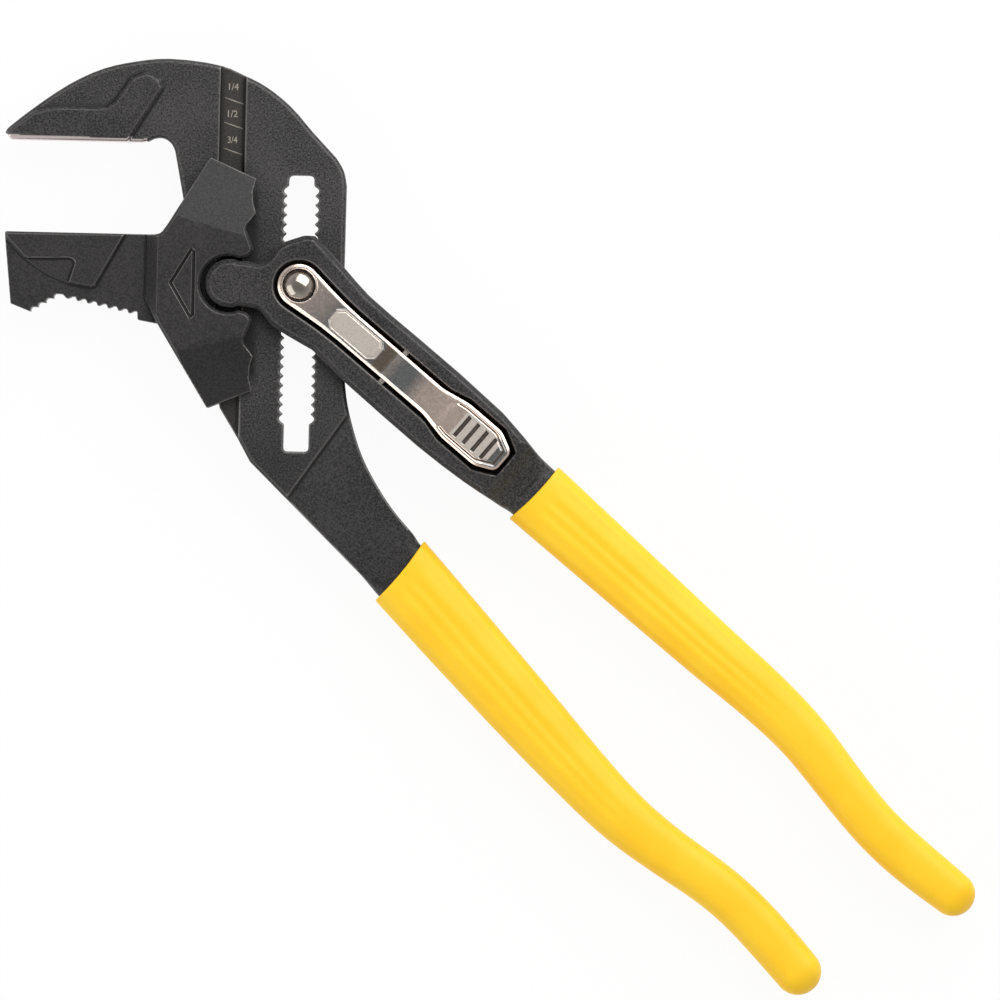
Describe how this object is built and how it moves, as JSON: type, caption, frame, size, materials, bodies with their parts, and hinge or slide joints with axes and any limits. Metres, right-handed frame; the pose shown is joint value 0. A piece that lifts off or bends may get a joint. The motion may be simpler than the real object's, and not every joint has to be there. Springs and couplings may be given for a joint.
{
  "type": "pliers wrench",
  "caption": "Adjustable pliers wrench with a fixed hook jaw, a reversible sliding jaw in a guide channel, a toothed pivot in a notched slot, a thumb release rocker and dipped grips.",
  "frame": {"origin": "on the pivot axis, at the rear end of the pivot pin, level with the back of the lever", "axes": "+X along the jaw faces towards the handles, +Y along the slot from the sliding jaw to the fixed jaw, +Z from the back to the face that carries the release rocker"},
  "size_m": [0.2431, 0.2271, 0.0226],
  "materials": {
    "black_oxide_forging": "grained black oxide on forged steel",
    "black_oxide_jaw": "smooth black oxide on forged steel",
    "dipped_grip": "satin dipped PVC",
    "nickel_plate": "bright nickel plate",
    "bright_steel": "turned steel",
    "bush_steel": "oiled turned steel"
  },
  "bodies": {
    "fixed_jaw": {"fixed_jaw_handle": "black_oxide_forging", "fixed_handle_grip": "dipped_grip"},
    "pivot_carriage": {"pivot_bushing": "bush_steel"},
    "lever": {"lever_handle": "black_oxide_forging", "lever_handle_grip": "dipped_grip", "rocker_cross_pin": "bright_steel", "release_spring": "bright_steel"},
    "jaw": {"sliding_jaw": "black_oxide_jaw"},
    "rocker": {"release_rocker": "nickel_plate"},
    "pin": {"toothed_pivot_pin": "bright_steel", "pivot_dome_rivet": "nickel_plate"}
  },
  "joints": [
    {"name": "size_adjust", "type": "slide", "parent": "fixed_jaw", "child": "pivot_carriage", "axis": [0, 1, 0], "range_m": [-0.02106, 0.02106]},
    {"name": "lever_swing", "type": "hinge", "parent": "pivot_carriage", "child": "lever", "pos_m": [0, 0, 0], "axis": [0, 0, 1], "range_deg": [0, 12]},
    {"name": "jaw_travel", "type": "slide", "parent": "pivot_carriage", "child": "jaw", "axis": [0, 1, 0], "range_m": [-0.0036, 0.0005]},
    {"name": "release_rock", "type": "hinge", "parent": "lever", "child": "rocker", "pos_m": [0.02369, -0.01953, 0.0191], "axis": [0.6361, 0.7716, 0], "range_deg": [0, 6.8], "stiffness_Nm_per_rad": 0.6, "springref_deg": -5.73, "deforming": ["release_spring"]},
    {"name": "pin_lift", "type": "slide", "parent": "pivot_carriage", "child": "pin", "axis": [0, 0, 1], "range_m": [0, 0.0037]}
  ],
  "couplings": [
    {"joint": "jaw_travel", "follows": "lever_swing", "m_per_rad": -0.0168},
    {"joint": "pin_lift", "follows": "release_rock", "m_per_rad": 0.0307}
  ]
}
